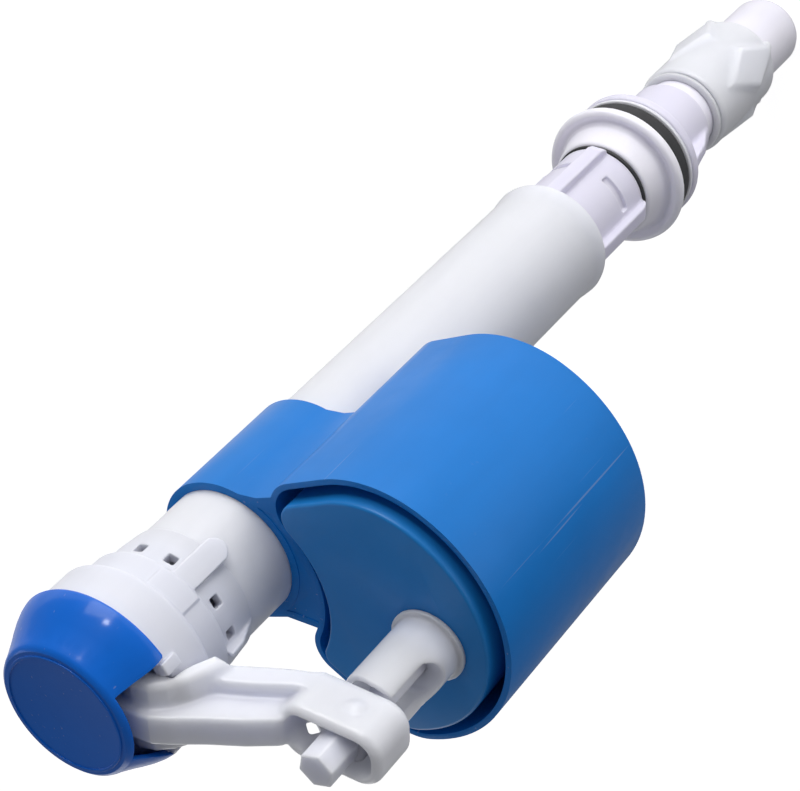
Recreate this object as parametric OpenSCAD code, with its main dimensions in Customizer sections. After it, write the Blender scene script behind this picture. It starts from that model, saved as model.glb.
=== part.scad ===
// Float valve: bottom-entry cistern fill valve with a lever, a delayed-fill chamber and a float.
// Millimetres. +Z is up the riser, +X points from the tube to the float.
// Origin: on the tube axis, at the lower face of the sealing washer, where the cistern floor goes.

/* [Riser and silencer tube] */
// Outer radius of the silencer tube
tube_r = 16; // [15.5:0.1:16.5]
// Wall of the silencer tube
tube_wall = 1.4; // [1.2:0.1:1.8]
// Height of the silencer tube's lower end above the cistern floor
tube_bottom = 43; // [40:1:46]
// Height of the silencer tube's upper end
tube_top = 204.5; // [203:0.5:205]
// Outer radius of the inner riser pipe
riser_r = 7.5; // [7:0.1:8]

/* [Tail] */
// Outer radius of the threaded shank, a G1/2 pipe thread
shank_r = 10.48; // [10.4:0.01:10.6]
// Length of the shank below the cistern floor
shank_len = 85; // [82:1:90]
// Outer radius of the dished flange
dish_r = 20; // [19:0.5:22]
// Thickness of the sealing washer
washer_t = 6; // [5:0.5:7]
// Radius of the back nut's flange
back_nut_r = 18.6; // [18:0.1:19]

/* [Head] */
// Height of the cap's end face
cap_top = 242.2; // [241.5:0.1:243]
// Radius of the cap at its rim
cap_r = 22; // [21.9:0.1:22.3]
// Radius of the upper head ring
head_r = 20.8; // [20.6:0.1:21]
// Radius of the lower head ring
neck_r = 18.6; // [18.4:0.1:18.8]
// Radius of the vent ring
vent_r = 17.2; // [17:0.1:17.6]

/* [Float chamber] */
// Height of the chamber
chamber_h = 58.5; // [56:0.5:60]
// Height of the chamber's rim
chamber_top = 184; // [182:0.5:186]
// Radius of the chamber's round side
chamber_r = 35.2; // [34.8:0.1:36]
// Distance from the tube axis to the centre of the round side
chamber_x = 36.2; // [35.8:0.1:37]
// Wall of the chamber
chamber_wall = 1.4; // [1.2:0.1:1.6]

/* [Float] */
// Gap between the float and the chamber wall
float_gap = 2.8; // [2.6:0.1:3.2]
// Height of the float
float_h = 45; // [40:1:46]
// Outer radius of the float stem
stem_r = 7.8; // [7.4:0.1:8]
// Half width of the slot in the float's stem
stem_slot = 5.6; // [4:0.2:6]

/* [Lever] */
// Distance from the tube axis to the lever pivot
pivot_x = 12; // [11.8:0.1:12.2]
// Height of the lever pivot
pivot_z = 231; // [230.8:0.1:231.2]
// Distance from the tube axis to the float stem
stem_x = 53; // [52.8:0.1:53.2]
// Height of the swivel in the lever's yoke
swivel_z = 216; // [215.8:0.1:216.2]

/* [Hidden] */
$fn = 96;
fit = 0.05;
gap = 0.3;

white = [0.93, 0.93, 0.96];
frosted = [0.86, 0.87, 0.91];
blue = [0.11, 0.42, 0.80];
float_blue = [0.22, 0.50, 0.78];
black = [0.06, 0.06, 0.07];

tube_bore_r = tube_r - tube_wall;
shank_bore_r = 6.5;
dish_top = 16.4;
socket_r = 12;
socket_low = 8;
seal_t = 1;
rib_top = tube_bottom;
cage_r = 13;
nut_low = -23;
nut_flange_t = 3;
ring_t = 1;
union_top = -29;
union_low = -62.5;
filter_low = 1 - shank_len;
union_r = 13.3;
thread_fit = 0.07;

neck_low = 210.7;
neck_high = 218.3;
head_top = 229;
vent_low = 199.5;
finger_z = 199.8;
finger_a = 62;
seat_z = 214;
seat_r = riser_r - 1.8 - fit;
piston_rise = 2;
piston_low = seat_z + piston_rise + 1.2;
diaphragm_z = 221;
cover_z = 222.6;
cover_t = 2.6;
spigot_h = 1.8;
spigot_r = 20.5;
cap_wall = 1.4;
pin_r = 1.6;
cheek_y = 4.3;
cheek_t = 3;

chamber_low = chamber_top - chamber_h;
floor_t = 1.6;
collar_h = 34;
float_top = chamber_top + 2.5;
float_low = float_top - float_h;
float_wall = 1.5;
drain_x = 46;
drain_r = 5;
flap_pivot_x = 38;
flap_drop = 20;
hinge_drop = 1.6;

beam_y = 3.8;
flange_y = 7;
lobe_y = 9.5;
block_x0 = 39.3;
block_x1 = 63.7;
block_low = 209.3;
block_top = 222.5;
trunnion_r = 2;
screw_r = 3;
stem_top = block_low - 0.5;
thread_z = 187.5;

// A straight slice: every point whose distance along direction a is more than d.
module beyond(d, a, reach = 200)
    rotate(a) translate([d, -reach / 2]) square([reach, reach]);

// Centre of a horn of radius h that touches a flank and the hollow.
function horn_centre(h, flank, hollow) =
    let (n = [cos(flank_a), sin(flank_a)], m = [sin(flank_a), -cos(flank_a)], k = flank - h)
    k * n + (hollow.x * m.x + hollow.y * m.y
        + sqrt(pow(hollow[2] + h, 2) - pow(k - hollow.x * n.x - hollow.y * n.y, 2))) * m;

// Centre of the arc of radius r that leads from a flank into the round side.
function shoulder_centre(r, flank, round) =
    let (n = [cos(flank_a), sin(flank_a)], m = [sin(flank_a), -cos(flank_a)], k = flank - r)
    k * n + (round.x * m.x + sqrt(pow(round[2] - r, 2) - pow(k - round.x * n.x, 2))) * m;

// Outline that wraps round the tube: a round side, two flat flanks, two round horns and a hollow.
// round, hollow: [x, y, radius]. flank: distance of each flat from the tube axis, +Y first.
// horn: radius of each horn. shoulder: radius of the turn from each flank into the round side.
// t: how far inside the outline to draw.
flank_a = 119;
module kidney(round, hollow, flank, horn, shoulder, t = 0) {
    n = [cos(flank_a), sin(flank_a)];
    m = [sin(flank_a), -cos(flank_a)];
    difference() {
        translate([round.x, round.y]) circle(round[2] - t);
        translate([hollow.x, hollow.y]) circle(hollow[2] + t);
        for (i = [0, 1]) {
            side = 1 - 2 * i;
            h = [hollow.x, side * hollow.y];
            c = horn_centre(horn[i], flank[i], [h.x, h.y, hollow[2]]);
            on_flat = c + (horn[i] - t) * n;
            on_hollow = c + (horn[i] - t) * (h - c) / norm(h - c);
            scale([1, side]) {
                beyond(flank[i] - t, flank_a);
                polygon([on_flat + 6 * n, on_flat, on_hollow, on_hollow / 2, on_flat - 30 * m,
                         on_flat - 30 * m + 6 * n]);
                shoulder_slice(shoulder_centre(shoulder[i], flank[i], round), shoulder[i] - t,
                               n, [round.x, round.y]);
            }
        }
    }
    for (i = [0, 1]) {
        side = 1 - 2 * i;
        c = horn_centre(horn[i], flank[i], [hollow.x, side * hollow.y, hollow[2]]);
        translate([c.x, side * c.y]) circle(horn[i] - t);
    }
}

// What a shoulder arc of radius r about c takes off, between direction n and the one from middle.
module shoulder_slice(c, r, n, middle) {
    u = (c - middle) / norm(c - middle);
    difference() {
        polygon([c + r * n, c + (r + 3) * n, c + 1.5 * r * (n + u) / norm(n + u), c + (r + 3) * u,
                 c + r * u]);
        translate(c) circle(r);
    }
}

module chamber_outline(t = 0)
    kidney([chamber_x, 0, chamber_r], [0, -6, 23], [14.9, 8.3], [9, 7.5], [28, 12], t);

module float_outline(t = 0) chamber_outline(chamber_wall + float_gap + t);

// A tube along Z between two heights.
module pipe(r_out, r_in, low, high)
    translate([0, 0, low]) difference() {
        cylinder(r = r_out, h = high - low);
        translate([0, 0, -1]) cylinder(r = r_in, h = high - low + 2);
    }

// A plate that lies in the XZ plane, centred on Y, from a side profile.
module side_plate(half_y, points)
    rotate([90, 0, 0]) linear_extrude(height = 2 * half_y, center = true) polygon(points);

// ---- Tail ----

// Dished flange and threaded shank, one moulding.
module tail_body() color(white) {
    rotate_extrude() polygon([
        [shank_bore_r, -shank_len + 1], [7.5, -shank_len], [8.6, -shank_len + 0.4],
        [9.8, -shank_len + 1.6], [shank_r, -shank_len + 3.4], [shank_r, union_low - 0.5],
        [shank_r - 0.3, union_low - 0.3], [shank_r - 0.3, union_low + 0.7],
        [shank_r, union_low + 0.9], [shank_r, washer_t],
        [dish_r - 1.4, washer_t], [dish_r - 0.3, washer_t + 0.7], [dish_r, washer_t + 1.8],
        [dish_r - 0.4, washer_t + 3], [dish_r - 1.4, washer_t + 3.6], [17.6, washer_t + 3],
        [16.6, washer_t + 2.6], [15.6, washer_t + 4], [15, washer_t + 6.4],
        [14.2, dish_top - 0.6], [13.7, dish_top], [socket_r, dish_top], [socket_r, socket_low],
        [riser_r + fit, socket_low], [riser_r + fit, -20], [shank_bore_r, -20]
    ]);
}

module riser_pipe() color(white)
    pipe(riser_r, riser_r - 1.8, -19, 212);

// Base of the silencer tube: four ribs that the tube stands on, with a sunk slot between them.
module riser_base() color(white) {
    low = dish_top + seal_t;
    rib_half = 2.1;
    difference() {
        union() {
            pipe(cage_r, cage_r - 1.6, low, rib_top + 1);
            pipe(tube_bore_r, cage_r - 1.6, rib_top, rib_top + 9);
            pipe(socket_r - fit, riser_r + fit, socket_low + 0.5, low + 1.5);
            for (a = [0:90:270]) rotate(a) side_plate(rib_half, [
                [12, low + 0.8], [13.6, low + 0.3], [14.4, low + 0.9], [15.3, low + 3.4],
                [15.3, rib_top], [12, rib_top]
            ]);
        }
        for (a = [0:90:270]) rotate(a + 39) intersection() {
            pipe(cage_r + 1, cage_r - 1, 25.2, 27.8);
            linear_extrude(height = rib_top)
                polygon([[0, 0], [20, -8.5], [24, 0], [20, 8.5]]);
        }
    }
}

module joint_seal() color(black)
    pipe(13.4, socket_r, dish_top, dish_top + seal_t);

module sealing_washer() color(black)
    rotate_extrude() polygon([
        [shank_r + 0.1, 0], [17.2, 0], [18, 0.7], [18.5, washer_t - 1.5], [18.5, washer_t - 0.5],
        [18, washer_t], [shank_r + 0.1, washer_t]
    ]);

module friction_washer() color(white)
    pipe(back_nut_r - 0.4, shank_r + thread_fit, -ring_t, 0);

module back_nut() color(white) {
    flange_low = -ring_t - nut_flange_t;
    difference() {
        union() {
            rotate_extrude() polygon([
                [0, nut_low], [11.8, nut_low], [12.2, nut_low + 0.4], [12.2, flange_low],
                [back_nut_r - 0.8, flange_low], [back_nut_r, flange_low + 0.8],
                [back_nut_r, -ring_t - 0.4], [back_nut_r - 0.4, -ring_t], [0, -ring_t]
            ]);
            for (a = [5, 185]) rotate(a) side_plate(1.6, [
                [10, flange_low + 1], [17.6, flange_low + 1], [16, -9], [15.2, -14],
                [12.2, -21], [10, -21]
            ]);
        }
        translate([0, 0, nut_low - 1]) cylinder(r = shank_r + thread_fit, h = 30);
    }
}

module slip_ring() color(frosted)
    pipe(12.6, shank_r + thread_fit, union_top, union_top + ring_t);

module union_nut() color(frosted)
    difference() {
        union() {
            rotate_extrude() polygon([
                [0, union_low], [12.2, union_low], [13, union_low + 0.8],
                [union_r, union_low + 2], [union_r, union_top - 2], [12.9, union_top - 0.6],
                [12.2, union_top], [0, union_top]
            ]);
            for (a = [35:90:305]) rotate(a) side_plate(3, [
                [10, union_low + 2], [union_r, union_low + 2], [14.6, union_low + 10],
                [14.6, union_low + 14], [union_r, union_low + 24], [10, union_low + 24]
            ]);
        }
        translate([0, 0, union_low - 1]) cylinder(r = shank_r + thread_fit, h = 40);
    }

// Mesh thimble that keeps grit out of the valve.
module inlet_filter() color(white)
    difference() {
        union() {
            pipe(shank_bore_r - fit, 4.2, filter_low, filter_low + 3);
            pipe(5, 4.2, filter_low + 2, filter_low + 29);
            translate([0, 0, filter_low + 28]) cylinder(r = 5, h = 1);
        }
        for (z = [6:4:22]) for (a = [0:60:300]) rotate(a)
            translate([3.5, -1.3, filter_low + z]) cube([3, 2.6, 2.4]);
    }

module flow_restrictor() color(white)
    pipe(shank_bore_r - fit, 2, -46, -40);

// ---- Tube and head ----

module outer_tube() color(frosted)
    rotate_extrude() polygon([
        [tube_bore_r, tube_bottom], [tube_r - 0.6, tube_bottom],
        [tube_r + 0.3, tube_bottom + 0.7], [tube_r + 0.6, tube_bottom + 2],
        [tube_r + 0.4, tube_bottom + 4], [tube_r, tube_bottom + 7], [tube_r, tube_top],
        [tube_bore_r, tube_top]
    ]);

// Anti-siphon ring with pairs of small windows, and a guide fin on the float's side.
module vent_ring() color(white) {
    difference() {
        rotate_extrude() polygon([
            [tube_r + fit, vent_low], [tube_r + 0.6, vent_low], [vent_r - 0.5, vent_low + 1],
            [vent_r, vent_low + 6], [vent_r, neck_low], [tube_bore_r, neck_low],
            [tube_bore_r, tube_top], [tube_r + fit, tube_top]
        ]);
        for (a = [22:72:310]) for (side = [-1, 1]) rotate(a + side * 13.8)
            translate([12, -1.3, 206.2]) cube([8, 2.6, 2.5]);
    }
    side_plate(0.6, [[vent_r - 0.4, 200], [19.4, 206.5], [19.8, neck_low], [vent_r - 0.4, neck_low]]);
}

// Cup that holds the main valve, with the latch finger that hangs beside the vent ring.
module head_housing() color(white) {
    difference() {
        rotate_extrude() polygon([
            [0, neck_low], [neck_r - 0.3, neck_low], [neck_r, neck_low + 0.4],
            [neck_r, neck_high - 1.2], [neck_r + 0.9, neck_high - 0.4], [head_r - 0.5, neck_high],
            [head_r, neck_high + 0.6], [head_r, head_top - 0.5], [head_r - 0.3, head_top],
            [spigot_r, head_top], [spigot_r, head_top + spigot_h], [18.9, head_top + spigot_h],
            [18.9, diaphragm_z], [13.1, diaphragm_z], [13.1, 213], [0, 213]
        ]);
        translate([0, 0, neck_low - 1]) cylinder(r = riser_r + fit, h = 5);
        for (a = [30:60:330]) rotate(a) translate([10.6, 0, neck_low - 1]) cylinder(r = 1.8, h = 5);
        translate([0, -10.5, head_top]) cube([30, 21, 10]);
    }
    rotate(finger_a) {
        intersection() {
            pipe(neck_r, vent_r + 0.1, 194, neck_low + 3);
            translate([10, 0, 0]) rotate([0, 90, 0]) linear_extrude(height = 12) {
                translate([-finger_z, 0]) circle(r = 3);
                translate([-neck_low - 3, -3]) square([neck_low + 3 - finger_z, 6]);
            }
        }
        intersection() {
            pipe(neck_r + 0.5, neck_r - 0.2, neck_low + 0.8, neck_high - 1);
            translate([10, -5, neck_low]) cube([12, 10, 10]);
        }
    }
}

module valve_seat() color(white)
    rotate_extrude() polygon([
        [seat_r - 1, 205], [seat_r, 205], [seat_r, 212.1], [seat_r + 1.2, 212.1],
        [seat_r + 0.2, seat_z], [seat_r - 0.6, seat_z]
    ]);

module valve_piston() color(white)
    difference() {
        union() {
            translate([0, 0, piston_low]) cylinder(r = 12.8, h = 2.4);
            translate([0, 0, piston_low]) cylinder(r = 6, h = 4.8);
        }
        translate([0, 0, piston_low - 1]) cylinder(r = 0.8, h = 8);
    }

module piston_seal() color(black)
    pipe(8.4, 0.8, piston_low - 1.2, piston_low);

module diaphragm() color(black)
    pipe(18.6, 8, diaphragm_z, cover_z - 0.1);

// Plate over the diaphragm, with the pilot nozzle and the two ears that carry the lever pin.
module valve_cover() color(white)
    difference() {
        union() {
            translate([0, 0, cover_z]) cylinder(r = 18.6, h = cover_t);
            translate([0, 0, cover_z]) cylinder(r = 3, h = 3.6);
            translate([0, 0, cover_z]) cylinder(r = 1.5, h = 4.4);
            for (side = [1, -1]) translate([0, side * (cheek_y + cheek_t / 2), 0])
                side_plate(cheek_t / 2, [
                    [6, cover_z + 1], [15, cover_z + 1], [14.6, pivot_z],
                    [14, pivot_z + 1.8], [12.8, pivot_z + 2.6], [11.2, pivot_z + 2.6],
                    [10, pivot_z + 1.8], [9.4, pivot_z]
                ]);
        }
        translate([0, 0, cover_z - 1]) cylinder(r = 0.6, h = 8);
        translate([pivot_x, 0, pivot_z]) rotate([90, 0, 0])
            cylinder(r = pin_r, h = 20, center = true);
    }

module lever_pin() color(white)
    translate([pivot_x, 0, pivot_z]) rotate([90, 0, 0])
        cylinder(r = pin_r, h = 2 * (cheek_y + cheek_t), center = true);

// Splash cap with a notch for the lever. A raised ring decorates the end face.
module cap() color(blue)
    difference() {
        union() {
            rotate_extrude() polygon([
                [spigot_r + gap, head_top], [cap_r - 0.2, head_top], [cap_r, head_top + 0.5],
                [cap_r - 0.3, head_top + 1.8], [cap_r - 1, head_top + 3.6],
                [cap_r - 2, head_top + 5.6], [cap_r - 3.1, head_top + 7.6],
                [cap_r - 4.1, head_top + 9.6], [cap_r - 4.9, head_top + 11.2],
                [cap_r - 5.2, head_top + 12], [cap_r - 5.6, cap_top - 0.5],
                [cap_r - 6.3, cap_top], [0, cap_top], [0, cap_top - cap_wall],
                [cap_r - 7.1, cap_top - cap_wall], [cap_r - 5.7, head_top + 10],
                [cap_r - 3.8, head_top + 6], [19.3, head_top + 3.2],
                [19.3, head_top + spigot_h], [spigot_r + gap, head_top + spigot_h]
            ]);
            pipe(14.8, 14.2, cap_top - 0.5, cap_top + 0.3);
        }
        rotate([90, 0, 90]) linear_extrude(height = 40)
            polygon([[-14, head_top - 1], [14.3, head_top - 1], [10.2, cap_top - cap_wall],
                     [-6, cap_top - cap_wall]]);
    }

// ---- Lever ----

// Side profiles of the lever, in X and Z.
beam_side = [
    [-3.5, 231.2], [3.4, 231.2], [6, 229.9], [21, 229.9], [24, 225], [32, 221.2], [40, 216.4],
    [44, 214], [46, 222.4], [41, 224.2], [35, 228], [28, 231.6], [22, 235.2], [18, 237.2],
    [12, 237.8], [6, 236.4], [-3.5, 235.2]
];
flange_side = [
    [20, 229.4], [24, 224.8], [32, 221.3], [40, 217], [43, 216], [43, 210.4], [36.5, 212.8],
    [31, 215.4], [26, 217.9], [21.8, 219.4]
];
lobe_side = [
    [16.4, 233.2], [20, 231], [23.5, 226], [25.8, 219.8], [22.6, 220.8], [20.4, 224],
    [19.4, 227], [16.4, 230]
];

module lever_arm() color(frosted)
    difference() {
        union() {
            side_plate(beam_y, beam_side);
            side_plate(flange_y, flange_side);
            side_plate(lobe_y, lobe_side);
            yoke_block();
        }
        translate([0, 0, 200]) cylinder(r = head_r + gap + 0.2, h = head_top + 0.8 - 200);
        yoke_cavity();
        translate([pivot_x, 0, pivot_z]) rotate([90, 0, 0])
            cylinder(r = pin_r + fit, h = 30, center = true);
        translate([stem_x, 0, swivel_z]) rotate([90, 0, 0])
            cylinder(r = trunnion_r + fit, h = 30, center = true);
    }

// Block at the lever's outer end, rounded outside.
module yoke_block() {
    corner = 5;
    translate([0, 0, block_low]) linear_extrude(height = block_top - block_low) {
        for (side = [1, -1])
            translate([block_x1 - corner, side * (flange_y - corner)]) circle(corner);
        translate([block_x0, -flange_y]) square([block_x1 - corner - block_x0, 2 * flange_y]);
        translate([block_x0, corner - flange_y])
            square([block_x1 - block_x0, 2 * (flange_y - corner)]);
    }
}

// Space for the swivel and the screw head, open above, with a slot below and side windows.
module yoke_cavity() {
    inner_y = 4.9;
    translate([41.5, -inner_y, block_low + 2.3]) cube([20, 2 * inner_y, 20]);
    translate([stem_x - 1.8, 0, block_low - 1]) cylinder(r = screw_r + 0.4, h = 5);
    translate([stem_x, 0, block_low - 1]) cylinder(r = screw_r + 0.4, h = 5);
    translate([stem_x - 1.8, -screw_r - 0.4, block_low - 1]) cube([1.8, 2 * screw_r + 0.8, 5]);
    translate([41.6, -10, 213.4]) cube([2.6, 6, 2.8]);
    translate([58.4, -10, 215.6]) cube([1.6, 6, 1.8]);
}

module pilot_seal() color(black)
    translate([0, 0, 229.6]) cylinder(r = 3, h = 1.6);

// Block with two trunnions that lets the screw stay upright while the lever tilts.
module swivel_collar() color(white)
    translate([stem_x, 0, swivel_z]) difference() {
        union() {
            intersection() {
                rotate([90, 0, 0]) cylinder(r = 4.2, h = 9.2, center = true);
                cube([7.6, 9.2, 6], center = true);
            }
            rotate([90, 0, 0]) cylinder(r = trunnion_r, h = 2 * flange_y - 0.2, center = true);
        }
        cylinder(r = screw_r + fit, h = 20, center = true);
    }

module adjusting_screw() color(white) {
    head_low = swivel_z + 3;
    translate([stem_x, 0, 0]) {
        translate([0, 0, head_low]) rotate(20) cylinder(r = 4.4, h = 228.9 - head_low, $fn = 6);
        translate([0, 0, 176]) cylinder(r = screw_r, h = head_low + 1 - 176);
    }
}

// ---- Float ----

// Stem with a window on its outer side, a flange on the float and a threaded hub inside.
module float_stem() color(frosted)
    translate([stem_x, 0, 0]) {
        difference() {
            union() {
                pipe(stem_r, stem_r - 1.5, float_top, stem_top);
                pipe(9, 5, float_top, float_top + 1.2);
                pipe(6, screw_r + fit, thread_z, thread_z + 7);
                pipe(6.4, screw_r + fit, float_top, thread_z + 1);
                pipe(5.6, 4.4, float_top - 15, float_top + 1);
                translate([0, 0, float_top - 16]) cylinder(r = 5.6, h = 1.2);
            }
            translate([0, 0, thread_z + 11]) rotate([0, 90, 0]) cylinder(r = stem_slot, h = 20);
            translate([0, -stem_slot, thread_z + 11]) cube([20, 2 * stem_slot, 40]);
            translate([0, 0, stem_top]) rotate([0, -14, 0]) translate([-20, -10, 0])
                cube([20, 20, 10]);
        }
        for (a = [45:90:315]) rotate(a) translate([5.5, -0.6, thread_z]) cube([1.5, 1.2, 7]);
    }

module float_body() color(float_blue)
    difference() {
        translate([0, 0, float_low + 1.6]) linear_extrude(height = float_h - 1.6) float_outline();
        translate([0, 0, float_low]) linear_extrude(height = float_h - float_wall)
            float_outline(float_wall);
        translate([stem_x, 0, float_top - 5]) cylinder(r = 5.6 + fit, h = 10);
    }

module float_base() color(float_blue)
    translate([0, 0, float_low]) linear_extrude(height = 1.6) float_outline();

// Chamber, the collar that clips it to the tube and the webs between them, one moulding.
module float_chamber() color(blue)
    difference() {
        union() {
            translate([0, 0, chamber_low])
                linear_extrude(height = chamber_h) chamber_outline();
            translate([0, 0, chamber_top - collar_h]) {
                cylinder(r = tube_r + 2, h = collar_h);
                linear_extrude(height = collar_h) {
                    polygon([[4, 16.2], [12.5, 16], [16, 17.5], [13, 21], [8, 18.6], [3.2, 17.7]]);
                    polygon([[9, -15.6], [14, -13.2], [22.4, -12.6], [23.2, -10.8], [15.5, -11],
                             [12, -12]]);
                }
            }
            translate([0, 0, chamber_top - 2.2]) linear_extrude(height = 2)
                polygon([[5, 17.2], [14, 19], [16.5, 14], [21, 6], [23.4, -3], [23.2, -11.5],
                         [14, -12.6], [9.6, -15]]);
            for (side = [1, -1]) translate([flap_pivot_x, side * 3.4, chamber_low - 5])
                translate([-2, -0.8, 0]) cube([4, 1.6, 5.4]);
        }
        translate([0, 0, chamber_low + floor_t]) linear_extrude(height = chamber_h)
            chamber_outline(chamber_wall);
        translate([0, 0, chamber_low - 1]) cylinder(r = tube_r + 0.02, h = chamber_h + 2);
        translate([drain_x, 0, chamber_low - 1]) cylinder(r = drain_r - 1, h = 5);
        translate([flap_pivot_x, 0, chamber_low - hinge_drop]) rotate([90, 0, 0])
            cylinder(r = 1, h = 20, center = true);
    }

// Flap under the chamber that lets it drain when the cistern empties.
module drain_flap() color(white)
    translate([flap_pivot_x, 0, chamber_low - hinge_drop]) rotate([0, flap_drop, 0]) {
        rotate([90, 0, 0]) cylinder(r = 0.95, h = 8.4, center = true);
        translate([0, -2, 0]) cube([8, 4, 1.4]);
        translate([8, 0, 0]) cylinder(r = 6, h = 1.4);
    }

tail_body();
riser_pipe();
riser_base();
joint_seal();
sealing_washer();
friction_washer();
back_nut();
slip_ring();
union_nut();
inlet_filter();
flow_restrictor();
outer_tube();
vent_ring();
head_housing();
valve_seat();
valve_piston();
piston_seal();
diaphragm();
valve_cover();
lever_pin();
cap();
lever_arm();
pilot_seal();
swivel_collar();
adjusting_screw();
float_stem();
float_body();
float_base();
float_chamber();
drain_flap();
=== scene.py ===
"""Looks of a cistern float valve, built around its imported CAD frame. Metres, Z up."""
import math

import bmesh
import bpy
import numpy as np
from mathutils import Matrix, Vector


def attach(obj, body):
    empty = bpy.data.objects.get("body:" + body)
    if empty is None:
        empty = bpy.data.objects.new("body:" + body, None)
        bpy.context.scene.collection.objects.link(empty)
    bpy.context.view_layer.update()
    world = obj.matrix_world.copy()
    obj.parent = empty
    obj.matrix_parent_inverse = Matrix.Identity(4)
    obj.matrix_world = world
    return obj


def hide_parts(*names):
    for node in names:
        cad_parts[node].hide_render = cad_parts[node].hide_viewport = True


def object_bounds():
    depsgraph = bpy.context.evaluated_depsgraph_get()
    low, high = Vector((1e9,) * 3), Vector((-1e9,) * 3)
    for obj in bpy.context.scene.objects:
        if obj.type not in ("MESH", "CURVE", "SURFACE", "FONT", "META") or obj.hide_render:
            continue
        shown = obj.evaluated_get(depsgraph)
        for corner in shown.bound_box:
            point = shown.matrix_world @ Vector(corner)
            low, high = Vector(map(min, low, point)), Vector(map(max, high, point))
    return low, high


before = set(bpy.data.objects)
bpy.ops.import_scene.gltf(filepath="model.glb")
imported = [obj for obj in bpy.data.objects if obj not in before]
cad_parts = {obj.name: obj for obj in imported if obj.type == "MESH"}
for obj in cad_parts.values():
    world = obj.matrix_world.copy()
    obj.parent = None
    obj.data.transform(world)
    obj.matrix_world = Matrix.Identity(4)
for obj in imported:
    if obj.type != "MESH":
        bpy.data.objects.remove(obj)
cad_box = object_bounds()

MM = 0.001
WELD = 1e-6
SCENE = bpy.context.scene

# Bends, in degrees: a facet of a flat face, an edge that a mould rounds, an edge kept sharp.
FLAT_BEND, ROUNDED_BEND, SHARP_BEND = 0.6, 28, 35


# ---------------------------------------------------------------- materials

# Sockets of a Mix node, which are told apart by their place.
FACTOR, VALUE_A, VALUE_B, COLOUR_A, COLOUR_B = 0, 2, 3, 6, 7
VALUE_OUT, COLOUR_OUT = 0, 2


def new_material(name):
    """A new material: (material, node tree, principled shader, object coordinates)."""
    mat = bpy.data.materials.new(name)
    mat.use_nodes = True
    tree = mat.node_tree
    coords = tree.nodes.new("ShaderNodeTexCoord").outputs["Object"]
    return mat, tree, tree.nodes["Principled BSDF"], coords


def set_inputs(node, values):
    """Gives a node's sockets their fixed values."""
    for socket, value in values.items():
        node.inputs[socket].default_value = value


def noise(tree, coords, scale, seed, detail=3.0, rough=0.55):
    """The value of a noise texture, read at coordinates moved off by its seed."""
    shift = tree.nodes.new("ShaderNodeMapping")
    shift.inputs["Location"].default_value = (seed, seed * 0.7, seed * 1.3)
    tree.links.new(coords, shift.inputs["Vector"])
    texture = tree.nodes.new("ShaderNodeTexNoise")
    set_inputs(texture, {"Scale": scale, "Detail": detail, "Roughness": rough})
    tree.links.new(shift.outputs["Vector"], texture.inputs["Vector"])
    return texture.outputs["Fac"]


def drawn_out(tree, coords, share):
    """Coordinates whose Z counts for a share, so that a texture runs in lines along the tube."""
    squeeze = tree.nodes.new("ShaderNodeMapping")
    squeeze.inputs["Scale"].default_value = (1.0, 1.0, share)
    tree.links.new(coords, squeeze.inputs["Vector"])
    return squeeze.outputs["Vector"]


def ramp(tree, value, stops):
    """The colour that a ramp of two (position, colour) stops gives a value."""
    node = tree.nodes.new("ShaderNodeValToRGB")
    for element, (position, colour) in zip(node.color_ramp.elements, stops):
        element.position = position
        element.color = (*colour, 1.0)
    tree.links.new(value, node.inputs["Fac"])
    return node.outputs["Color"]


def to_range(tree, value, low, high, out_low, out_high):
    """A value moved from one range to another, and held at its ends."""
    node = tree.nodes.new("ShaderNodeMapRange")
    set_inputs(node, {"From Min": low, "From Max": high, "To Min": out_low, "To Max": out_high})
    tree.links.new(value, node.inputs["Value"])
    return node.outputs["Result"]


def marked(tree, colour, pattern, low, high, strength, tint):
    """A colour that turns to a tint, up to a strength, where a pattern goes from low to high."""
    node = tree.nodes.new("ShaderNodeMix")
    node.data_type = "RGBA"
    tree.links.new(to_range(tree, pattern, low, high, 0.0, strength), node.inputs[FACTOR])
    tree.links.new(colour, node.inputs[COLOUR_A])
    node.inputs[COLOUR_B].default_value = (*tint, 1.0)
    return node.outputs[COLOUR_OUT]


def bumped(tree, height, strength, distance, under=None):
    """The normal of a surface raised by a height, over another normal if one is given."""
    node = tree.nodes.new("ShaderNodeBump")
    set_inputs(node, {"Strength": strength, "Distance": distance})
    tree.links.new(height, node.inputs["Height"])
    if under is not None:
        tree.links.new(under, node.inputs["Normal"])
    return node.outputs["Normal"]


def moulded_colour(tree, coords, colours, seed, streak, scratch, dust):
    """A cloudy tone with flow streaks and scratches along the tube, and handling scuffs."""
    base, shade = colours
    cloud = noise(tree, coords, scale=30.0, seed=seed)
    colour = ramp(tree, cloud, [(0.30, shade), (0.68, base)])

    along = drawn_out(tree, coords, share=0.08)
    flow = noise(tree, along, scale=260.0, seed=seed + 3.0, detail=2.0)
    colour = marked(tree, colour, flow, low=0.42, high=0.78, strength=streak,
                    tint=[0.86 * c for c in shade])

    if scratch:
        along = drawn_out(tree, coords, share=0.02)
        lines = noise(tree, along, scale=900.0, seed=seed + 7.0, detail=1.0)
        colour = marked(tree, colour, lines, low=0.73, high=0.78, strength=scratch,
                        tint=[0.6 * c + 0.22 for c in base])

    scuff = noise(tree, coords, scale=700.0, seed=seed + 5.0, detail=2.0, rough=0.7)
    return marked(tree, colour, scuff, low=0.70, high=0.80, strength=dust,
                  tint=[0.6 * c + 0.16 for c in base])


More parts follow.
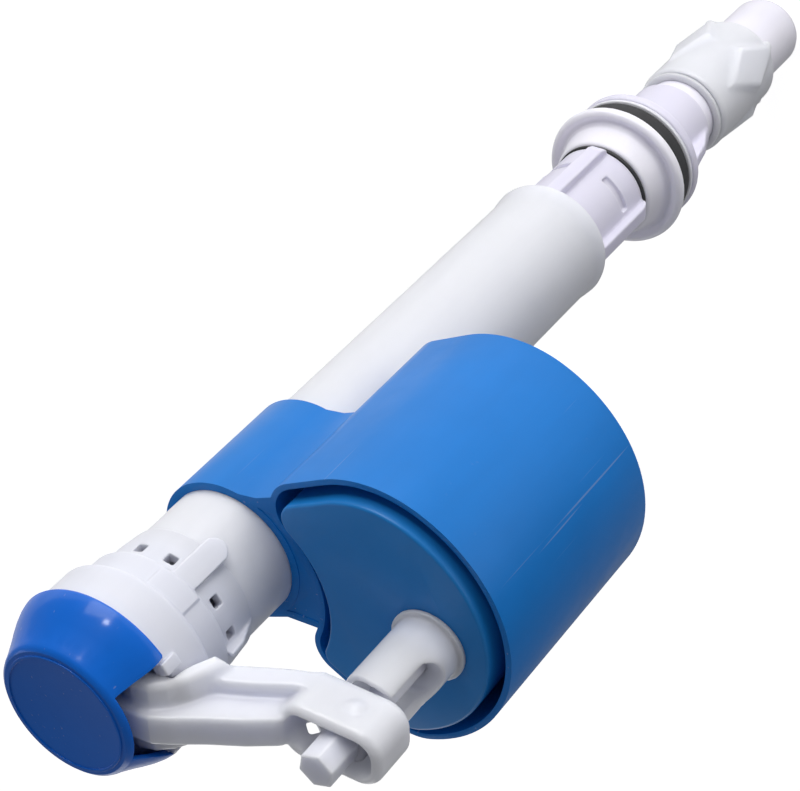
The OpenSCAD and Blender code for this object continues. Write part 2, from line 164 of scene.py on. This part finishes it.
def moulded_normal(tree, coords, seed, grain):
    """Fine orange peel over the slow waves that a moulding sinks into."""
    peel = noise(tree, coords, scale=1300.0, seed=seed + 1.0, detail=1.0)
    wave = noise(tree, coords, scale=110.0, seed=seed + 2.0, detail=1.0)
    sink = bumped(tree, wave, strength=0.20 * grain, distance=0.20 * MM)
    return bumped(tree, peel, strength=0.18 * grain, distance=0.02 * MM, under=sink)


def plastic(name, colours, seed, streak, gloss=(0.34, 0.46), sheen=0.5, depth=0.0, reach=2.4,
            grain=1.0, dust=0.1, coat=0.0, scratch=0.0):
    """Moulded plastic. gloss is its range of roughness, and reach is in millimetres."""
    mat, tree, shader, coords = new_material(name)
    links = tree.links
    links.new(moulded_colour(tree, coords, colours, seed, streak, scratch, dust),
              shader.inputs["Base Color"])
    smear = noise(tree, coords, scale=90.0, seed=seed + 9.0, detail=4.0, rough=0.6)
    links.new(to_range(tree, smear, 0.3, 0.72, *gloss), shader.inputs["Roughness"])
    links.new(moulded_normal(tree, coords, seed, grain), shader.inputs["Normal"])
    set_inputs(shader, {"IOR": 1.49, "Specular IOR Level": sheen})
    if coat:
        set_inputs(shader, {"Coat Weight": coat, "Coat Roughness": 0.13})
    if depth:
        set_inputs(shader, {"Subsurface Weight": depth, "Subsurface Radius": (1.0, 1.0, 1.0),
                            "Subsurface Scale": reach * MM})
    return mat


def rubber(name, seed):
    """Black nitrile rubber: matt, dusty, with a fine moulded grain."""
    mat, tree, shader, coords = new_material(name)
    links = tree.links
    bloom = noise(tree, coords, scale=90.0, seed=seed, detail=5.0, rough=0.6)
    tone = ramp(tree, bloom, [(0.35, (0.014, 0.014, 0.015)), (0.75, (0.040, 0.041, 0.044))])
    dust = noise(tree, coords, scale=1400.0, seed=seed + 4.0, detail=2.0, rough=0.8)
    dusty = marked(tree, tone, dust, low=0.66, high=0.75, strength=0.35, tint=(0.12, 0.12, 0.125))
    links.new(dusty, shader.inputs["Base Color"])
    links.new(to_range(tree, bloom, 0.3, 0.7, 0.5, 0.72), shader.inputs["Roughness"])
    grain = bumped(tree, dust, strength=0.5, distance=0.05 * MM)
    links.new(grain, shader.inputs["Normal"])
    return mat


# Each plastic's colour and its darker shade.
WHITE = (0.88, 0.88, 0.96), (0.85, 0.85, 0.94)
# The white plastic made darker: painted shade for the head end, where less light falls.
WHITE_IN_PAINTED_SHADE = (0.71, 0.72, 0.79), (0.67, 0.68, 0.75)
LILAC = (0.90, 0.88, 0.99), (0.87, 0.85, 0.97)
NUT = (0.74, 0.72, 0.84), (0.70, 0.68, 0.81)
CLEAR = (0.80, 0.81, 0.89), (0.77, 0.78, 0.86)
CAP_BLUE = (0.001, 0.148, 0.68), (0.001, 0.130, 0.62)
CHAMBER_BLUE = (0.003, 0.190, 0.62), (0.002, 0.170, 0.56)
FLOAT_BLUE = (0.014, 0.22, 0.62), (0.010, 0.195, 0.56)


def white(name, seed, colours=WHITE):
    """Opaque white plastic that light goes a little way into."""
    return plastic(name, colours, seed, streak=0.12, depth=0.6, coat=0.15)


def frosted(name, seed, reach=6.0):
    """Translucent plastic, with light spread all through it under a smooth skin."""
    return plastic(name, CLEAR, seed, streak=0.1, gloss=(0.38, 0.42), depth=1.0, reach=reach,
                   grain=0.1, dust=0.03, coat=0.35)


def blue(name, seed, colours, coat):
    """Shiny blue plastic with thin scratches."""
    return plastic(name, colours, seed, streak=0.14, sheen=0.12, dust=0.08, coat=coat,
                   scratch=0.5)


def float_blue(name, seed):
    """The float's softer blue."""
    return plastic(name, FLOAT_BLUE, seed, streak=0.12, gloss=(0.28, 0.40), sheen=0.32,
                   dust=0.08)


# ---------------------------------------------------------------- mesh tools

def add_object(name, mesh, mat):
    """An object in the scene that shows a mesh in a material."""
    obj = bpy.data.objects.new(name, mesh)
    SCENE.collection.objects.link(obj)
    mesh.materials.append(mat)
    return obj


def copy_of(bm, name, mat):
    """An object made from a bmesh, which is used up."""
    mesh = bpy.data.meshes.new(name)
    bm.to_mesh(mesh)
    bm.free()
    return add_object(name, mesh, mat)


def work_in(obj):
    """Gives an object the mesh that its modifiers make, and takes them off."""
    graph = bpy.context.evaluated_depsgraph_get()
    mesh = bpy.data.meshes.new_from_object(obj.evaluated_get(graph))
    mesh.name = obj.name
    obj.modifiers.clear()
    obj.data = mesh


def welded(node):
    """A bmesh of a CAD node in which faces share the vertices they meet at."""
    bm = bmesh.new()
    bm.from_mesh(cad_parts[node].data)
    bmesh.ops.remove_doubles(bm, verts=bm.verts, dist=WELD)
    return bm


def shade_smooth(mesh):
    """Smooth shading all over."""
    for poly in mesh.polygons:
        poly.use_smooth = True


def shade_by_edges(mesh):
    """Smooth shading, with the sharp edges kept."""
    bm = bmesh.new()
    bm.from_mesh(mesh)
    limit = math.radians(SHARP_BEND)
    for face in bm.faces:
        face.smooth = True
    for edge in bm.edges:
        edge.smooth = not (len(edge.link_faces) == 2 and edge.calc_face_angle(0.0) > limit)
    bm.to_mesh(mesh)
    bm.free()


def rounded(node, name, mat, width):
    """A copy of a CAD node whose edges are rounded over, as a mould leaves them."""
    bm = welded(node)
    bmesh.ops.dissolve_limit(bm, angle_limit=math.radians(FLAT_BEND), verts=bm.verts, edges=bm.edges)
    obj = copy_of(bm, name, mat)
    bevel = obj.modifiers.new("edge", "BEVEL")
    bevel.width = width
    bevel.segments = 3
    bevel.limit_method = "ANGLE"
    bevel.angle_limit = math.radians(ROUNDED_BEND)
    bevel.use_clamp_overlap = True
    bevel.miter_outer = "MITER_ARC"
    work_in(obj)
    shade_by_edges(obj.data)
    return obj


def ring_sector(bm, radii, heights, angles):
    """A closed block of a ring, added to a bmesh, in millimetres and degrees."""
    (r0, r1), (z0, z1), (a0, a1) = radii, heights, angles
    steps = 4
    rings = []
    for k in range(steps + 1):
        a = math.radians(a0 + (a1 - a0) * k / steps)
        rings.append([
            bm.verts.new((r * math.cos(a) * MM, r * math.sin(a) * MM, z * MM))
            for r, z in ((r0, z0), (r1, z0), (r1, z1), (r0, z1))
        ])
    faces = [bm.faces.new(rings[0][::-1]), bm.faces.new(rings[-1])]
    for first, second in zip(rings, rings[1:]):
        for k in range(4):
            n = (k + 1) % 4
            faces.append(bm.faces.new((first[k], first[n], second[n], second[k])))
    bmesh.ops.recalc_face_normals(bm, faces=faces)


def melted(node, name, mat, voxel, passes, blocks=()):
    """A copy of a CAD node, with blocks added, remeshed fine and relaxed to soften its edges."""
    bm = welded(node)
    for block in blocks:
        ring_sector(bm, *block)
    obj = copy_of(bm, name, mat)
    remesh = obj.modifiers.new("remesh", "REMESH")
    remesh.mode = "VOXEL"
    remesh.voxel_size = voxel
    relax = obj.modifiers.new("relax", "SMOOTH")
    relax.factor = 0.5
    relax.iterations = passes
    work_in(obj)
    shade_smooth(obj.data)
    return obj


# A soft moulded shape is a field on a grid of points, in millimetres: negative inside it, and
# blended where ribs and walls meet. Its skin is then a mesh.

def grid(low, high, step):
    """The three coordinates of a box of points, shaped so that they broadcast."""
    axes = [np.arange(a, b + step, step, dtype=np.float32) for a, b in zip(low, high)]
    return axes[0][:, None, None], axes[1][None, :, None], axes[2][None, None, :]


def around(x, y, degrees):
    """Distances outward and sideways from a direction about the origin."""
    a = math.radians(degrees)
    return x * math.cos(a) + y * math.sin(a), y * math.cos(a) - x * math.sin(a)


def polygon_field(a, b, points):
    """Signed distance from a closed polygon in the plane of coordinates a and b."""
    best, inside = np.float32(1e9), False
    for (x0, y0), (x1, y1) in zip(points, points[1:] + points[:1]):
        ex, ey, wx, wy = x1 - x0, y1 - y0, a - x0, b - y0
        t = np.clip((wx * ex + wy * ey) / (ex * ex + ey * ey), 0, 1)
        best = np.minimum(best, (wx - ex * t) ** 2 + (wy - ey * t) ** 2)
        if ey:
            inside = inside ^ (((b >= min(y0, y1)) & (b < max(y0, y1))) & (a < x0 + wy / ey * ex))
    return np.where(inside, -1, 1) * np.sqrt(best)


def ball(x, y, z, radius):
    """A ball about the point where x, y and z are zero."""
    return np.sqrt(x ** 2 + y ** 2 + z ** 2) - radius


def slab(outline, across, half, radius):
    """An outline's field extruded by half to each side, to a plate with rounded edges."""
    u, v = outline + radius, np.abs(across) - half + radius
    return np.minimum(np.maximum(u, v), 0) + np.hypot(np.maximum(u, 0), np.maximum(v, 0)) - radius


def box_field(a, b, half_a, half_b, corner):
    """A rectangle with round corners, centred on zero."""
    return slab(np.abs(a) - half_a, b, half_b, corner)


def join(a, b, blend):
    """Two shapes in one, with the corner between them filled over a blend's width."""
    h = np.clip(0.5 + 0.5 * (b - a) / blend, 0, 1)
    return b + (a - b) * h - blend * h * (1 - h)


def cut(a, b, blend):
    """One shape less another, with the new edge rounded."""
    return -join(-a, b, blend)


def skin(field, low, step, name, mat):
    """The zero surface of a field, as a mesh of quads with one vertex in each crossed cell."""
    field = np.asarray(field, np.float32)
    shape = tuple(n - 1 for n in field.shape)

    # A cell's vertex is the mean of the points where its edges cross the surface.
    total, count = np.zeros(shape + (3,), np.float32), np.zeros(shape, np.float32)
    edges = []
    for axis in range(3):
        first = np.moveaxis(field, axis, 0)[:-1]
        second = np.moveaxis(field, axis, 0)[1:]
        crossed = (first < 0) != (second < 0)
        at = np.argwhere(crossed)
        share = (first / np.where(crossed, first - second, 1))[crossed]
        edges.append((axis, at, first[crossed] < 0))
        others = [k for k in range(3) if k != axis]
        for du in (0, 1):
            for dv in (0, 1):
                cell = np.empty_like(at)
                cell[:, axis] = at[:, 0]
                cell[:, others[0]] = at[:, 1] - du
                cell[:, others[1]] = at[:, 2] - dv
                good = ((cell >= 0) & (cell < shape)).all(1)
                point = np.empty(at.shape, np.float32)
                point[:, axis] = at[:, 0] + share
                point[:, others[0]], point[:, others[1]] = at[:, 1], at[:, 2]
                index = tuple(cell[good].T)
                np.add.at(total, index, point[good])
                np.add.at(count, index, 1)
    used = count > 0
    number = np.full(shape, -1, np.int64)
    number[used] = np.arange(used.sum())
    verts = (total[used] / count[used][:, None] * step + np.array(low, np.float32)) * MM

    # Each crossed edge carries a quad between the four cells about it.
    quads = []
    for axis, at, opens in edges:
        others = [k for k in range(3) if k != axis]
        ring = []
        for du, dv in ((0, 0), (1, 0), (1, 1), (0, 1)):
            cell = np.empty_like(at)
            cell[:, axis] = at[:, 0]
            cell[:, others[0]], cell[:, others[1]] = at[:, 1] - du, at[:, 2] - dv
            ring.append(number[tuple(np.clip(cell, 0, np.array(shape) - 1).T)])
        quad = np.stack(ring, 1)
        turn = opens == (axis == 1)
        quad[turn] = quad[turn][:, ::-1]
        quads.append(quad)
    mesh = bpy.data.meshes.new(name)
    mesh.from_pydata(verts.tolist(), [], np.concatenate(quads).tolist())
    shade_smooth(mesh)
    mesh.validate()
    return add_object(name, mesh, mat)


def stands_for(piece, node, body):
    """Puts a piece in a CAD node's stead."""
    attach(piece, body)
    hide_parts(node)


def dress(node, mat):
    """Gives a carried-over CAD node its material."""
    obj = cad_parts[node]
    if not obj.material_slots:
        obj.data.materials.append(mat)
    for material_slot in obj.material_slots:
        material_slot.material = mat


# ---------------------------------------------------------------- pieces with round edges

# Cheeks that carry the head's rim up to the edges of the cap's notch: radii, heights, angles.
CHEEKS = [((18.4, 21.9), (226.0, 230.7), angles) for angles in ((29.0, 36.5), (-36.5, -29.0))]

# node: (piece, body, slot, material, voxel, passes)
MELTED = {
    # The head and the vent ring wear the white darkened as painted shade.
    "head_housing": ("head_soft", "valve_body", "white_plastic",
                     white("head_white_painted_shade", 2.0, WHITE_IN_PAINTED_SHADE), 0.28, 2),
    "vent_ring": ("vent_soft", "valve_body", "white_plastic",
                  white("vent_white_painted_shade", 3.0, WHITE_IN_PAINTED_SHADE), 0.24, 1),
    "riser_base": ("base_soft", "valve_body", "white_plastic",
                   white("base_white", 4.0, NUT), 0.28, 2),
    "tail_body": ("tail_soft", "valve_body", "white_plastic",
                  white("tail_white", 5.0, LILAC), 0.32, 4),
    "float_stem": ("stem_soft", "float", "frosted_plastic",
                   frosted("stem_frosted", 8.0), 0.28, 4),
    "adjusting_screw": ("screw_soft", "screw", "frosted_plastic",
                        frosted("screw_frosted", 9.0, reach=3.0), 0.20, 12),
}
for node, (piece, body, slot, mat, voxel, passes) in MELTED.items():
    blocks = CHEEKS if node == "head_housing" else ()
    stands_for(melted(node, piece, mat, voxel * MM, passes, blocks), node, body)

# node: (piece, body, slot, material, edge radius)
ROUNDED = {
    "outer_tube": ("tube_round", "valve_body", "frosted_plastic",
                   frosted("tube_frosted", 11.0, reach=3.0), 0.4),
    "cap": ("cap_round", "cap", "blue_plastic",
            blue("cap_blue", 12.0, CAP_BLUE, coat=0.4), 0.45),
    "float_chamber": ("chamber_round", "valve_body", "blue_plastic",
                      blue("chamber_blue", 13.0, CHAMBER_BLUE, coat=0.25), 0.35),
    "float_body": ("float_round", "float", "float_plastic",
                   float_blue("float_blue", 14.0), 0.8),
    "sealing_washer": ("washer_round", "valve_body", "black_rubber",
                       rubber("washer_black", 15.0), 0.4),
    "joint_seal": ("seal_round", "valve_body", "black_rubber",
                   rubber("seal_black", 16.0), 0.25),
    "friction_washer": ("friction_round", "back_washer", "white_plastic",
                        white("friction_white", 17.0), 0.2),
    "slip_ring": ("slip_round", "union_ring", "frosted_plastic",
                  frosted("slip_frosted", 18.0), 0.25),
    "drain_flap": ("flap_round", "drain_flap", "white_plastic",
                   white("flap_white", 19.0), 0.25),
    "swivel_collar": ("swivel_round", "swivel", "white_plastic",
                      white("swivel_white", 20.0), 0.3),
    "valve_cover": ("cover_round", "valve_body", "white_plastic",
                    white("cover_white", 21.0), 0.25),
}
for node, (piece, body, slot, mat, radius) in ROUNDED.items():
    stands_for(rounded(node, piece, mat, radius * MM), node, body)


# ---------------------------------------------------------------- pieces that are one soft skin

def lever(name, mat):
    """The lever: a round-edged beam over a wider flange, two lobes, and the hollow yoke."""
    low, step = (-5.0, -11.0, 207.5), 0.28
    x, y, z = grid(low, (66.0, 11.0, 240.0), step)
    hinge_x, hinge_z = 12, 231
    swivel_x, swivel_z = 53, 216

    beam = slab(polygon_field(x, z, [
        (-3.5, 231.2), (3.4, 231.2), (6, 229.9), (21, 229.9), (24, 225), (32, 221.2), (40, 216.4),
        (44, 214), (48, 219), (46, 222.4), (41, 224.2), (35, 228), (28, 231.6), (22, 235.2),
        (18, 237.2), (12, 237.8), (6, 236.4), (-3.5, 235.2)]), y, half=3.9, radius=0.8)
    flange = slab(polygon_field(x, z, [
        (20, 229.4), (24, 224.8), (32, 221.3), (40, 217), (43, 216), (43, 210.4), (36.5, 212.8),
        (31, 215.4), (26, 217.9), (21.8, 219.4)]), y, half=7.0, radius=1.1)
    lobe = slab(polygon_field(x, z, [
        (8.6, 233.4), (10.4, 235), (13, 235.6), (16.6, 234.6), (19.6, 232.2), (22.4, 228.4),
        (24.4, 224.4), (26, 219.8), (22.4, 219.4), (20, 224), (18.6, 227.4), (15, 229.4),
        (8.6, 229.9)]), y, half=9.5, radius=1.6)
    arm = join(join(beam, flange, blend=1.6), lobe, blend=1.8)

    # The cover's ears stand at both sides of the beam, in pockets about the hinge.
    ears = np.minimum(np.hypot(x - hinge_x, z - hinge_z) - 3.0,
                      box_field(x - hinge_x, z - 227, half_a=3.8, half_b=4, corner=0.3))
    arm = cut(arm, slab(ears, np.abs(y) - 5.9, half=1.8, radius=0.3), blend=0.3)

    yoke = box_field(x - 51.5, y, half_a=12.2, half_b=7.1, corner=5.6)
    cavity = box_field(x - 51.3, y, half_a=10.0, half_b=4.7, corner=3.4)
    arm = join(arm, slab(yoke, z - swivel_z, half=6.7, radius=2.4), blend=1.3)
    arm = cut(arm, slab(cavity, z - 222, half=10.2, radius=1.2), blend=1.8)

    # Room for the head, and the holes of the hinge pin and of the swivel's trunnions.
    head_radius, pin_radius, trunnion_radius = 21.4, 1.7, 2.1
    arm = cut(arm, slab(np.hypot(x, y) - head_radius, z - 200, half=29.8, radius=0.5), blend=0.5)
    pin = np.hypot(x - hinge_x, z - hinge_z) - pin_radius
    arm = cut(arm, slab(pin, y, half=20, radius=0.1), blend=0.3)
    trunnions = np.hypot(x - swivel_x, z - swivel_z) - trunnion_radius
    arm = cut(arm, slab(trunnions, y, half=6.3, radius=0.1), blend=0.3)

    # A boss swells the yoke's cheek, and the screw passes through its floor.
    arm = join(arm, ball(x - 54.0, y - 4.6, z - 215.7, radius=3.1), blend=0.7)
    floor_hole = box_field(x - 52, y, half_a=4.4, half_b=3.5, corner=3.4)
    arm = cut(arm, slab(floor_hole, z - 208, half=6, radius=0.4), blend=0.5)

    # Two small windows lie along the arm's slope in the yoke's cheek.
    for at, height, half_long, half_wide in ((42.2, 214.9, 2.5, 1.3), (59.3, 216.5, 1.1, 0.7)):
        along, over = around(x - at, z - height, 38)
        window = box_field(along, over, half_long, half_wide, corner=0.5)
        arm = cut(arm, slab(window, y + 7, half=3.5, radius=0.3), blend=0.5)
    return skin(arm, low, step, name, mat)


THREAD_RADIUS = 10.6


def union_nut(name, mat):
    """The translucent nut: a soft barrel with four low diamond lugs, each ending in a small nib."""
    low, step = (-17.5, -17.5, -64.0), 0.32
    x, y, z = grid(low, (17.5, 17.5, -28.0), step)
    r = np.hypot(x, y)
    nut = slab(r - 13.2, z + 45.75, half=16.75, radius=2.2)
    for turn in (35, 125, 215, 305):
        out, side = around(x, y, turn)
        diamond = polygon_field(side, z, [(-6.4, -50), (0, -63), (6.4, -50), (0, -37)])
        nut = join(nut, slab(diamond, out - 7, half=6.8, radius=1.2), blend=2.0)
        nut = join(nut, ball(out - 12.9, side - 1.0, z + 61.8, radius=1.2), blend=0.8)
    nut = cut(nut, slab(r - THREAD_RADIUS, z, half=90, radius=0.1), blend=0.3)
    ring_seat = slab(r - 12.0, z + 28.5, half=1.8, radius=0.3)
    return skin(cut(nut, ring_seat, blend=0.5), low, step, name, mat)


def back_nut(name, mat):
    """The wing nut: a flange, a barrel and two wings that run out into both."""
    low, step = (-19.5, -19.5, -24.0), 0.30
    x, y, z = grid(low, (19.5, 19.5, -0.4), step)
    r = np.hypot(x, y)
    flange = slab(r - 18.6, z + 2.5, half=1.5, radius=0.7)
    barrel = slab(r - 12.2, z + 13, half=10, radius=0.6)
    nut = join(flange, barrel, blend=0.9)
    for turn in (5, 185):
        out, side = around(x, y, turn)
        wing = polygon_field(out, z, [(9, -2.4), (17.9, -2.4), (16.4, -9), (15.4, -14),
                                      (12.4, -21), (9, -21)])
        nut = join(nut, slab(wing, side, half=1.7, radius=0.6), blend=1.3)
    nut = cut(nut, slab(r - THREAD_RADIUS, z, half=90, radius=0.1), blend=0.3)
    return skin(nut, low, step, name, mat)


# node: (its function, piece, body, slot, material)
SKINNED = {
    "lever_arm": (lever, "lever_soft", "lever", "frosted_plastic",
                  frosted("nylon_lever", 1.0)),
    "union_nut": (union_nut, "union_nut_soft", "union_nut", "frosted_plastic",
                  frosted("nut_frosted", 7.0)),
    "back_nut": (back_nut, "back_nut_soft", "back_nut", "white_plastic",
                 white("nut_lilac", 6.0, NUT)),
}
for node, (build, piece, body, slot, mat) in SKINNED.items():
    stands_for(build(piece, mat), node, body)


# ---------------------------------------------------------------- pieces that keep the CAD shape

for node, mat in {
    "riser_pipe": white("pipe_white", 31.0),
    "inlet_filter": white("filter_white", 32.0),
    "flow_restrictor": white("restrictor_white", 33.0),
    "valve_seat": white("seat_white", 34.0),
    "valve_piston": white("piston_white", 35.0),
    "lever_pin": white("pin_white", 36.0),
    "float_base": float_blue("base_blue", 37.0),
    "piston_seal": rubber("piston_black", 38.0),
    "diaphragm": rubber("diaphragm_black", 39.0),
    "pilot_seal": rubber("pilot_black", 40.0),
}.items():
    dress(node, mat)


# ---------------------------------------------------------------- floor, light, camera

def shown_as(tree, strength, look):
    """A strength for the light that is thrown, and another for what the camera sees."""
    node = tree.nodes.new("ShaderNodeMix")
    path = tree.nodes.new("ShaderNodeLightPath")
    tree.links.new(path.outputs["Is Camera Ray"], node.inputs[FACTOR])
    if isinstance(strength, bpy.types.NodeSocket):
        tree.links.new(strength, node.inputs[VALUE_A])
    else:
        node.inputs[VALUE_A].default_value = strength
    node.inputs[VALUE_B].default_value = look
    return node.outputs[VALUE_OUT]


def floor():
    """A pale floor that throws more light along the lit side and behind the tube."""
    mat, tree, shader, coords = new_material("floor_white")
    grain = noise(tree, coords, scale=60.0, seed=2.0)
    tone = ramp(tree, grain, [(0.3, (0.60, 0.60, 0.605)), (0.7, (0.63, 0.63, 0.635))])
    tree.links.new(tone, shader.inputs["Base Color"])
    set_inputs(shader, {"Roughness": 0.9, "Emission Color": (1.0, 1.0, 1.0, 1.0)})

    place = tree.nodes.new("ShaderNodeSeparateXYZ")
    tree.links.new(coords, place.inputs["Vector"])
    lit_side = to_range(tree, place.outputs["Y"], -0.02, 0.24, 0.03, 1.05)
    behind = to_range(tree, place.outputs["X"], -0.12, -0.22, 0.0, 0.5)
    brighter = tree.nodes.new("ShaderNodeMath")
    brighter.operation = "MAXIMUM"
    tree.links.new(lit_side, brighter.inputs[0])
    tree.links.new(behind, brighter.inputs[1])
    tree.links.new(shown_as(tree, brighter.outputs[0], 0.80), shader.inputs["Emission Strength"])

    half, gap = 3.0, 0.2 * MM
    mesh = bpy.data.meshes.new("floor")
    mesh.from_pydata([(-half, -half, 0), (half, -half, 0), (half, half, 0), (-half, half, 0)],
                     [], [(0, 1, 2, 3)])
    obj = add_object("floor", mesh, mat)
    obj.location.z = cad_box[0].z - gap


def direction(azimuth, elevation):
    """The unit vector at an azimuth about Z and an elevation, in degrees."""
    a, e = math.radians(azimuth), math.radians(elevation)
    return Vector((math.cos(a) * math.cos(e), math.sin(a) * math.cos(e), math.sin(e)))


def softbox(name, azimuth, elevation, distance, size, watts, height=0.1, spread=180):
    """A square area light that looks at a height on the valve, with an optional narrow grid."""
    light = bpy.data.lights.new(name, "AREA")
    light.shape = "SQUARE"
    light.size = size
    light.energy = watts
    light.spread = math.radians(spread)
    obj = bpy.data.objects.new(name, light)
    away = direction(azimuth, elevation)
    obj.location = Vector((0.015, 0.0, height)) + away * distance
    obj.rotation_mode = "QUATERNION"
    obj.rotation_quaternion = away.to_track_quat("Z", "Y")
    SCENE.collection.objects.link(obj)


def backdrop():
    """A world that lights the valve softly, and looks as pale as the floor."""
    world = bpy.data.worlds.new("studio")
    world.use_nodes = True
    tree = world.node_tree
    background = tree.nodes["Background"]
    background.inputs["Color"].default_value = (0.96, 0.97, 1.0, 1.0)
    tree.links.new(shown_as(tree, 0.22, 0.95), background.inputs["Strength"])
    SCENE.world = world


def add_camera(azimuth, elevation, roll, distance, lens, target):
    """A camera that looks at a target from a direction and a distance, rolled about its axis."""
    back = direction(azimuth, elevation)
    level = (-back).cross(Vector((0, 0, 1))).normalized()
    upright = level.cross(-back)
    turn = math.radians(roll)
    right = level * math.cos(turn) + upright * math.sin(turn)
    up = right.cross(-back)
    camera = bpy.data.objects.new("camera", bpy.data.cameras.new("camera"))
    camera.data.lens = lens
    camera.data.sensor_width = 36.0
    camera.data.clip_start, camera.data.clip_end = 0.05, 20.0
    turned = Matrix((right, up, back)).transposed().to_4x4()
    camera.matrix_world = Matrix.Translation(target + back * distance) @ turned
    SCENE.collection.objects.link(camera)
    SCENE.camera = camera


floor()
softbox("key_light", azimuth=104, elevation=2, distance=0.9, size=0.5, watts=3.5)
softbox("side_light", azimuth=25, elevation=-2, distance=1.0, size=0.35, watts=0.5)
softbox("back_light", azimuth=200, elevation=35, distance=1.1, size=0.5, watts=1.0)
softbox("far_light", azimuth=262, elevation=12, distance=1.0, size=0.5, watts=1.1)
softbox("spark_light", azimuth=93, elevation=20, distance=0.8, size=0.07, watts=0.55)
softbox("tail_light", azimuth=80, elevation=4, distance=0.34, size=0.12, watts=0.045,
        height=-0.09, spread=50)
backdrop()
SCENE.view_settings.view_transform = "Standard"

# The camera looks at the middle of the valve from above and to one side, rolled so that
# the cap is low on the left and the tail high on the right.
add_camera(azimuth=54.084, elevation=40.805, roll=-134.39, distance=0.56144, lens=106.25,
           target=Vector((0.00183, 0.0, 0.11848)))
